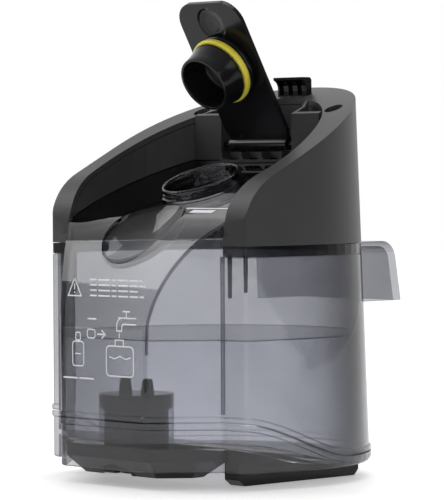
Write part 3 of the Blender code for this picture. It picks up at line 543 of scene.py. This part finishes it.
def scoop_cutter(growth):
    """The finger recess's egg shape, grown by the wall for the inner skin."""
    place = Matrix.Translation((0, 28.0, 127.0)) @ Matrix.Rotation(math.radians(41), 4, 'X')
    reach = (22.0 + growth, 27.0 + growth, 9.5 + growth)
    rows, columns = 28, 64
    profile = [(math.sin(math.pi * i / rows), math.cos(math.pi * i / rows)) for i in range(rows + 1)]
    profile[0], profile[-1] = (0, 1.0), (0, -1.0)
    return turned("cutter", profile, columns, place=place @ Matrix.Diagonal((*reach, 1.0)))


def neck_place():
    """The middle of the neck's rim, with z along the neck."""
    reach_y, reach_z = NECK_REACH * math.cos(TOP_SLOPE), NECK_REACH * math.sin(TOP_SLOPE)
    middle = Matrix.Translation((0, HINGE_Y - reach_y, HINGE_Z - reach_z))
    return middle @ Matrix.Rotation(TOP_SLOPE, 4, 'X')


def soften(obj, width, segments=3, angle=30.0):
    """Round an object's edges and keep its flat faces looking flat."""
    bevel = obj.modifiers.new("edges", 'BEVEL')
    bevel.width = width * MM
    bevel.segments = segments
    bevel.limit_method = 'ANGLE'
    bevel.angle_limit = math.radians(angle)
    bevel.harden_normals = True
    bevel.miter_outer = 'MITER_ARC'
    normals = obj.modifiers.new("flats", 'WEIGHTED_NORMAL')
    normals.keep_sharp = True
    return obj


def clear_tank(material):
    """The clear shell: outer skin less inner skin, open at the foot and at the neck."""
    step = 0.1
    gap = 0.3
    foot = lambda y: band_top(y) - BAND_HEIGHT / 2 + gap / 2
    rings = [tank_ring(foot, BAND_PROUD - 0.5), tank_ring(lambda y: foot(y) + 0.5, BAND_PROUD),
             tank_ring(lambda y: band_top(y) - 0.5, BAND_PROUD), tank_ring(band_top, BAND_PROUD - 0.5),
             tank_ring(lambda y: band_top(y) + 0.4, 0.0), tank_ring(GASKET_LOW_Z - step),
             tank_ring(GASKET_LOW_Z, 0.0, GASKET_DEPTH), tank_ring(SEAM_Z - step, 0.0, GASKET_DEPTH),
             tank_ring(SEAM_Z, 0.0, TUCK), tank_ring(HIGH_Z, 0.0, TUCK)]
    tank = loft("clear_tank", rings, material, "tank")
    ceiling = SEAM_Z - WALL
    inner_rings = [tank_ring(lambda y: band_top(y) - BAND_HEIGHT, -WALL), tank_ring(ceiling - step, -WALL),
                   tank_ring(ceiling, -WALL, TUCK), tank_ring(HIGH_Z, -WALL, TUCK)]
    inside = loft("inside", inner_rings)
    carve(inside, everything_above(top_line(), -WALL), scoop_cutter(WALL))
    hole = [(0, -30), (NECK_BORE_R, -30), (NECK_BORE_R, 20), (0, 20)]
    bore = turned("cutter", hole, 64, place=neck_place())
    reach = 10.0
    arms = [everything_above(rim_line(), -COLLAR_SKIN - gap - 0.2, reach, side * (RECESS_FRONT_X + reach))
            for side in (-1, 1)]
    carve(tank, everything_above(top_line(), 0), inside, scoop_cutter(0), bore, *arms)
    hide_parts("tank_shell")
    return soften(tank, 0.8)


# ---------------------------------------------------------------- collar

def collar(material):
    """The collar's skin and sloping rim, with rounded edges."""
    low = SEAM_Z + 0.3
    shell = loft("collar", [tank_ring(low), tank_ring(HIGH_Z)], material, "tank")
    hollow = loft("hollow", [tank_ring(low - 1.0, -COLLAR_SKIN), tank_ring(HIGH_Z, -COLLAR_SKIN)])
    carve(hollow, everything_above(rim_line(), -COLLAR_SKIN))
    cutters = [everything_above(rim_line(), 0), hollow, prism_z(recess_plan(0, -30), low - 1.0, 260)]
    for side in (-1, 1):
        place = Matrix.Translation((side * SCREW_X, SCREW_Y, 0))
        hole = [(0, 150), (SCREW_HOLE_R, 150), (SCREW_HOLE_R, 210), (0, 210)]
        cutters.append(turned("cutter", hole, 40, place=place))
    slot = [(LATCH_STEM_Y - 0.4, 160), (LATCH_REAR_Y + 0.4, 160), (LATCH_REAR_Y + 0.4, 230),
            (LATCH_STEM_Y - 0.4, 230)]
    cutters.append(prism_x(slot, LATCH_HALF + 0.4))
    carve(shell, *cutters)
    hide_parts("collar_housing")
    return soften(shell, 1.1, 4)


# ---------------------------------------------------------------- water and prints

def water(material):
    """Water standing in the tank, a little clear of its walls."""
    inset = -WALL - 0.15
    rings = [tank_ring(lambda y: floor_top(y) + 0.3, inset), tank_ring(WATER_Z, inset)]
    obj = loft("water", rings, material, "tank")
    well = turned("cutter", [(0, 0), (18.5, 0), (18.5, 44.2), (0, 44.2)], 48,
                  place=Matrix.Translation((0, VALVE_Y, 0)))
    return carve(obj, well)


def water_line_shade(material):
    """A dark strip where the water's surface meets the walls: painted shade for the dark line seen there.
    """
    rings = [tank_ring(height, -WALL - 0.1) for height in (WATER_Z - 0.5, WATER_Z + 0.15)]
    count = len(rings[0])
    faces = [(i, (i + 1) % count, count + (i + 1) % count, count + i) for i in range(count)]
    return make_mesh("water_line_shade", rings[0] + rings[1], faces, material, "tank")


def stroke(points, width, plane_y=-0.12):
    """Quads for a printed line through (x, z) points on the front face, with mitred joints."""
    left = offset_line(points, -width / 2, closed=False)
    right = offset_line(points, width / 2, closed=False)
    verts = [(x, plane_y, z) for x, z in left + right]
    count = len(points)
    return verts, [(i, i + 1, count + i + 1, count + i) for i in range(count - 1)]


def rounded_box(left, right, low, high, radius):
    middle = (left + right) / 2
    corners = [(left, high), (right, high), (right, low), (left, low)]
    line = [(middle, high)]
    for i in (1, 2, 3, 0):
        line += rounded(corners[i - 1], corners[i], corners[(i + 1) % 4], radius, 4)
    return line + [(middle, high)]


def circle_arc(middle, radius, start, end, steps=12):
    angles = [math.radians(start + (end - start) * i / steps) for i in range(steps + 1)]
    return [(middle[0] + radius * math.cos(a), middle[1] + radius * math.sin(a)) for a in angles]


def pictograms():
    """Lines (points, width) of made-up fill instructions: caution triangle, blank note bars, a
    bottle with its cap, and a tank held under a tap."""
    lines = []
    lines.append(([(-19.8, 101.0), (-24.6, 92.4), (-15.0, 92.4), (-19.8, 101.0), (-20.2, 100.3)], 0.6))
    lines.append(([(-19.8, 98.4), (-19.8, 95.4)], 0.7))
    lines.append(([(-19.8, 94.5), (-19.8, 93.8)], 0.7))
    for row, ends in enumerate(((-8.5, 29.0), (-8.5, 33.0), (-8.5, 26.0), (-8.5, 30.5))):
        z = 100.6 - 2.6 * row
        start = ends[0]
        for length in (5.0, 8.5, 3.6, 7.2, 6.0, 4.2):
            stop = min(start + length, ends[1])
            if stop - start > 1.0:
                lines.append(([(start, z), (stop, z)], 0.75))
            start = stop + 1.1
    lines.append(([(-28.5, 52.0), (-18.0, 52.0)], 0.75))
    lines.append(([(-16.8, 52.0), (-6.0, 52.0)], 0.75))
    lines.append(([(-10.4, 81.4), (-4.0, 81.4)], 0.75))
    lines.append((rounded_box(-21.6, -13.4, 58.0, 70.0, 1.6), 0.55))
    lines.append((rounded_box(-19.2, -15.8, 70.6, 74.4, 0.8), 0.55))
    lines.append(([(-19.6, 64.0), (-15.4, 64.0)], 0.5))
    lines.append((rounded_box(-10.6, -5.0, 72.0, 76.2, 1.0), 0.55))
    lines.append(([(-3.4, 74.0), (2.0, 74.0)], 0.7))
    lines.append(([(-0.2, 76.0), (2.4, 74.0), (-0.2, 72.0)], 0.7))
    lines.append((rounded_box(3.2, 22.6, 54.0, 68.6, 2.2), 0.6))
    lines.append(([(5.2, 63.4), (9.0, 62.4), (13.0, 63.8), (17.0, 62.4), (20.6, 63.4)], 0.5))
    lines.append(([(9.6, 68.8), (9.6, 71.6), (15.6, 71.6), (15.6, 68.8)], 0.55))
    lines.append(([(24.8, 82.4), (12.4, 82.4)] + circle_arc((14.8, 78.4), 4.0, 118, 180, 6)
                  + [(10.8, 76.0)], 0.6))
    lines.append(([(24.8, 79.4), (15.4, 79.4), (14.4, 78.4), (14.4, 76.0), (10.8, 76.0)], 0.6))
    lines.append(([(17.8, 82.8), (17.8, 85.2)], 0.6))
    lines.append(([(15.2, 85.6), (20.4, 85.6)], 0.7))
    lines.append(([(12.6, 75.0), (12.6, 72.6)], 0.5))
    return lines


def print_lines(name, lines, material, place=None):
    verts, faces = [], []
    for points, width in lines:
        new_verts, new_faces = stroke(points, width)
        faces += [tuple(len(verts) + k for k in face) for face in new_faces]
        verts += [place @ Vector(v) for v in new_verts] if place else new_verts
    return make_mesh(name, verts, faces, material, "tank")


def level_mark(material):
    """The full line on the sloping top, with a blank label block in front of it."""
    lift = 0.12
    up = Vector((0, -math.sin(TOP_SLOPE), math.cos(TOP_SLOPE)))
    origin = Vector((0, MARK_Y, top_height(MARK_Y))) + up * lift
    along = Vector((0, math.cos(TOP_SLOPE), math.sin(TOP_SLOPE)))
    verts, faces = [], []
    for left, right, near, far in ((14.0, 46.0, -0.7, 0.7), (21.0, 37.0, -5.6, -2.0)):
        base = len(verts)
        for x, reach in ((left, near), (right, near), (right, far), (left, far)):
            verts.append(origin + along * reach + Vector((x, 0, 0)))
        faces.append((base, base + 1, base + 2, base + 3))
    return make_mesh("level_mark", verts, faces, material, "tank")


# ---------------------------------------------------------------- turned pieces, and dark strips and beads of painted shade

def lid_place():
    """The open lid's own frame: y along the flap, z out of its plug side."""
    lean = Matrix.Rotation(math.pi / 2 + FLAP_LEAN, 4, 'X')
    return Matrix.Translation((0, HINGE_Y, HINGE_Z)) @ lean @ Matrix.Translation((0, NECK_REACH, 0))


def neck(material):
    """The clear neck, with the thread-like steps on its wall and a rounded rim."""
    low = 0.3 - NECK_HEIGHT
    step = 0.7
    rim = NECK_BORE_R + (NECK_R - NECK_BORE_R) / 2
    rim_r = (NECK_R - NECK_BORE_R) / 2
    foot = NECK_R + 1.0
    profile = [(NECK_BORE_R, low), (foot, low), (foot, low + 1.2), (NECK_R, low + 1.6), (NECK_R, low + 2.8),
               (NECK_R - step, low + 3.1), (NECK_R - step, low + 3.7), (NECK_R, low + 4.0)]
    profile += [(rim + rim_r * math.cos(turn), -rim_r + rim_r * math.sin(turn))
                for turn in (math.pi * i / 8 for i in range(9))]
    obj = turned("neck", profile, 96, material, "tank", neck_place(), 50.0)
    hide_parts("filler_neck")


def plug(material):
    """The plug under the flap: flange, ring groove, tapered nose and open mouth."""
    flange = [(0, 0.02), (17.2, 0.02), (17.5, 0.3), (17.6, 2.0), (17.3, 2.7), (16.6, 3.2)]
    groove = [(15.4, 3.4), (15.4, 7.9), (16.6, 8.1), (16.8, 8.6), (16.6, 9.4)]
    nose = [(15.7, 12), (15.0, 16), (14.7, 19.2), (14.5, 19.8), (13.9, 20), (13.2, 19.9), (12.9, 19.4)]
    bore = [(12.7, 6), (12.3, 4.7), (11.5, 4), (2.6, 4), (2.6, 2), (0, 2)]
    profile = flange + groove + nose + bore
    obj = turned("plug", profile, 96, material, "lid", lid_place(), 50.0)
    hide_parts("lid_plug")


def plug_ring(material):
    """The yellow ring: a soft bead in the plug's groove."""
    inner, outer = 15.7, 17.9
    middle_z, half = 5.6, 1.8
    profile = [(inner, middle_z - half)]
    for i in range(13):
        turn = math.pi * (i / 12 - 0.5)
        bulge = abs(math.cos(turn)) ** 0.6
        profile.append((inner + 0.8 + (outer - inner - 0.8) * bulge, middle_z + half * math.sin(turn)))
    profile.append((inner, middle_z + half))
    obj = turned("plug_ring", profile, 96, material, "lid", lid_place(), 50.0)
    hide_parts("seal_ring")


def housing(material):
    """The outlet valve's flared cup, with the spigot below."""
    bottom, top, spigot_low = 13.6, 44.0, 5.0
    outer, rim, inner, bore, spigot = 16.0, 18.2, 14.0, 4.5, 8.0
    outside = [(bore, spigot_low), (spigot - 0.4, spigot_low), (spigot, spigot_low + 0.4),
               (spigot, bottom - 2), (outer - 1, bottom - 2), (outer, bottom - 1), (outer, top - 8)]
    mouth = [(rim - 0.4, top - 6.8), (rim, top - 6.2), (rim, top - 0.8), (rim - 0.3, top - 0.2),
             (rim - 0.8, top), (rim - 2.0, top), (rim - 2.0, top - 3.0)]
    profile = outside + mouth + [(inner, top - 3.0), (inner, bottom + 1), (bore, bottom + 1)]
    obj = turned("housing", profile, 96, material, "tank", Matrix.Translation((0, VALVE_Y, 0)), 50.0)
    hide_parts("valve_housing")


def bead_along(points, radius, segments=8):
    """Verts and faces of a thin round bead through points, closed at its ends."""
    verts, faces = [], []
    for i, point in enumerate(points):
        along = (points[min(i + 1, len(points) - 1)] - points[max(i - 1, 0)]).normalized()
        aside = along.cross(Vector((1.0, 0.3, 0.1))).normalized()
        other = along.cross(aside)
        for k in range(segments):
            turn = 2 * math.pi * k / segments
            verts.append(point + (aside * math.cos(turn) + other * math.sin(turn)) * radius)
    for i in range(len(points) - 1):
        for k in range(segments):
            j = (k + 1) % segments
            here, there = segments * i, segments * (i + 1)
            faces.append((here + k, here + j, there + j, there + k))
    faces.append(tuple(range(segments)))
    faces.append(tuple(range(len(verts) - segments, len(verts))))
    return verts, faces


def bend_shade_beads(material):
    """Dark clear beads just inside the wall at its bends, painted shade for the dark lines those bends
    show: over the curved front beside the face, and up each step beside the chamfer."""
    depth = 1.2
    run = (CHAMFER_X - FACE_HALF) / CHAMFER_END_Y
    verts, faces = [], []
    for side in (-1, 1):
        bend = [Vector((side * (FACE_HALF - 0.5), depth, z)) for z in (65.0, 68.0)]
        for y, z in top_line():
            if 0.3 < y < CHAMFER_END_Y:
                bend.append(Vector((side * (FACE_HALF + y * run - 0.9), y + depth, z - depth)))
        step_x, step_y = side * (CHAMFER_X - 0.3), CHAMFER_END_Y + 2.2
        step = [Vector((step_x, step_y, z)) for z in (36.0, 62.0, 88.0, 112.0)]
        for line, radius in ((bend, 0.8), (step, 1.1)):
            new_verts, new_faces = bead_along(line, radius)
            faces += [tuple(len(verts) + k for k in face) for face in new_faces]
            verts += new_verts
    return make_mesh("bend_shade_beads", verts, faces, material, "tank")


def corner_shade_strips(material):
    """Two short upright dark strips inside each corner under the collar's front ends, painted shade for the
    dark lines where the wall tucks in.
    """
    verts, faces = [], []
    for x, y, half, low in ((56.4, 31.4, 0.9, 92.0), (66.4, 32.2, 0.8, 95.0)):
        for side in (-1, 1):
            base = len(verts)
            for z in (low, SEAM_Z - 4.0):
                taper = 0.6 if z == low else 1.0
                for dx, dy in ((-half, 0), (half, 0), (half, 1.6), (-half, 1.6)):
                    verts.append((side * (x + dx * taper), y + dy, z))
            faces += [tuple(base + k for k in face) for face in
                      ((0, 1, 2, 3), (4, 5, 6, 7), (0, 1, 5, 4), (1, 2, 6, 5), (2, 3, 7, 6), (3, 0, 4, 7))]
    return make_mesh("corner_shade_strips", verts, faces, material, "tank")


# ---------------------------------------------------------------- studio

def studio_world(towards_camera):
    """White as a backdrop; as light it comes from above and from behind, and hardly at all from
    the camera's side."""
    world = bpy.data.worlds.new("studio")
    world.use_nodes = True
    nodes, links = world.node_tree.nodes, world.node_tree.links
    coords = nodes.new("ShaderNodeTexCoord")
    facing = nodes.new("ShaderNodeVectorMath")
    facing.operation = 'DOT_PRODUCT'
    links.new(coords.outputs["Generated"], facing.inputs[0])
    facing.inputs[1].default_value = -towards_camera
    behind = map_range(nodes, links, facing.outputs["Value"], 0.10, 1.10)
    behind.node.inputs["From Min"].default_value = -0.2
    height = nodes.new("ShaderNodeSeparateXYZ")
    links.new(coords.outputs["Generated"], height.inputs[0])
    above = map_range(nodes, links, height.outputs["Z"], 0.0, 0.6)
    above.node.inputs["From Min"].default_value = 0.25
    light = math_node(nodes, links, 'ADD', behind, above)
    path = nodes.new("ShaderNodeLightPath")
    seen = math_node(nodes, links, 'MAXIMUM', light, path.outputs["Is Camera Ray"])
    strength = math_node(nodes, links, 'MINIMUM', seen,
                         math_node(nodes, links, 'SUBTRACT', 3.0,
                                   math_node(nodes, links, 'MULTIPLY', path.outputs["Is Camera Ray"], 2.0)))
    links.new(strength, nodes["Background"].inputs["Strength"])
    nodes["Background"].inputs["Color"].default_value = (1.0, 1.0, 1.0, 1.0)
    return world


def camera_and_lights():
    """A long lens a little above the table, as the product is usually shown."""
    scene = bpy.context.scene
    azimuth, elevation, roll = math.radians(46.5), math.radians(1.7), math.radians(-0.3)
    aim = to_frame((0, 60, 110))
    towards = Vector((math.sin(azimuth) * math.cos(elevation), -math.cos(azimuth) * math.cos(elevation),
                      math.sin(elevation)))
    right = Vector((math.cos(azimuth), math.sin(azimuth), 0))
    up = towards.cross(right)
    rolled_right = right * math.cos(roll) + up * math.sin(roll)
    rolled_up = up * math.cos(roll) - right * math.sin(roll)
    camera = bpy.data.objects.new("camera", bpy.data.cameras.new("camera"))
    bpy.context.collection.objects.link(camera)
    turn = Matrix((rolled_right, rolled_up, towards)).transposed()
    camera.matrix_world = Matrix.Translation(aim + towards * 1.5514) @ turn.to_4x4()
    camera.data.lens = 223.4
    camera.data.shift_x = 0.062
    camera.data.shift_y = 0.015
    camera.data.clip_start = 0.05
    scene.camera = camera

    scene.world = studio_world(towards)
    scene.view_settings.view_transform = 'Standard'

    for name, place, size, power in (
            ("key", (-0.9, -0.5, 0.9), 0.6, 4.0), ("fill", (1.0, -0.2, 0.5), 0.5, 1.2),
            ("top", (0.0, 0.3, 1.1), 0.7, 3.0)):
        light = bpy.data.objects.new(name, bpy.data.lights.new(name, 'AREA'))
        bpy.context.collection.objects.link(light)
        light.data.size = size
        light.data.energy = power
        light.location = place
        light.rotation_euler = (Vector((0, 0, 0.12)) - Vector(place)).to_track_quat('-Z', 'Y').to_euler()


def floor(material):
    half = 3.0
    corners = ((-half, -half), (half, -half), (half, half), (-half, half))
    verts = [Vector((x, y, -0.0002)) for x, y in corners]
    obj = make_mesh("floor", verts, [(0, 1, 2, 3)], material, None, placed=True)


camera_and_lights()
floor(paper_floor("paper"))
smoke = clear_plastic("smoke_clear", (0.772, 0.776, 0.797), (0.04, 0.04, 0.05), 0.03, 1.8)
dark_smoke = clear_plastic("smoke_dark", (0.30, 0.305, 0.32), (0.03, 0.03, 0.035), 0.08)
satin = moulded_plastic("satin_black", (0.032, 0.0325, 0.034), (0.042, 0.0425, 0.044), 0.36, 0.46,
                        1500.0, 0.10, 0.25)
gloss = moulded_plastic("gloss_black", (0.005, 0.005, 0.006), (0.009, 0.009, 0.010), 0.12, 0.20,
                        500.0, 0.03, 0.22)
yellow = silicone("yellow_silicone", (0.78, 0.66, 0.04), (0.86, 0.75, 0.09))
ink = printed_ink("printed_ink")
SLOTS = {"smoke_clear": smoke, "smoke_dark": dark_smoke, "satin_black": satin, "gloss_black": gloss,
         "yellow_silicone": yellow, "grey_rubber": rubber("grey_rubber"),
         "spring_steel": steel("spring_steel", (0.52, 0.52, 0.53), (0.68, 0.68, 0.67)),
         "dark_steel": steel("dark_steel", (0.03, 0.03, 0.032), (0.07, 0.07, 0.072))}
EDGE_WIDTHS = {"lid_flap": 0.7, "grip_pocket": 1.0, "latch_block": 0.4,
               "hinge_bracket_left": 0.4, "hinge_bracket_right": 0.4, "hinge_cradle": 0.4,
               "collar_liner": 0.4, "base_rail_left": 1.0, "base_rail_right": 1.0, "base_tray": 0.6,
               "valve_ear_left": 0.4, "valve_ear_right": 0.4, "bottom_pan": 0.3}

# Pieces that look unlike the rest of their slot
SEEN_AS = {"collar_gasket": dark_smoke, "base_tray": gloss, "base_rail_left": gloss,
           "base_rail_right": gloss}

for part in frame["record"]["subparts"]:
    node = NODES[part["node"]]
    node.data.materials.clear()
    node.data.materials.append(SEEN_AS.get(part["node"], SLOTS[part["material_slot"]]))
    if part["node"] in EDGE_WIDTHS:
        soften(node, EDGE_WIDTHS[part["node"]])

clear_tank(smoke)
collar(satin)
neck(smoke)
plug(gloss)
plug_ring(yellow)
housing(dark_smoke)
# Painted shade: dark strips for the dark lines at the tank's tucked corners
corner_shade_strips(dark_smoke)
# Painted shade: a darker tint on beads that stand in for the dark lines at the tank's bends
bend_shade_beads(clear_plastic("bend_line_shade", (0.66, 0.665, 0.69), (0.10, 0.10, 0.12), 0.03, 1.3))
water(clear_plastic("water", (0.90, 0.905, 0.93), (0.34, 0.35, 0.40), 0.02))
# Painted shade: a dark strip along the water line
water_line_shade(dark_smoke)
print_lines("fill_pictograms", pictograms(), ink)
level_mark(ink)
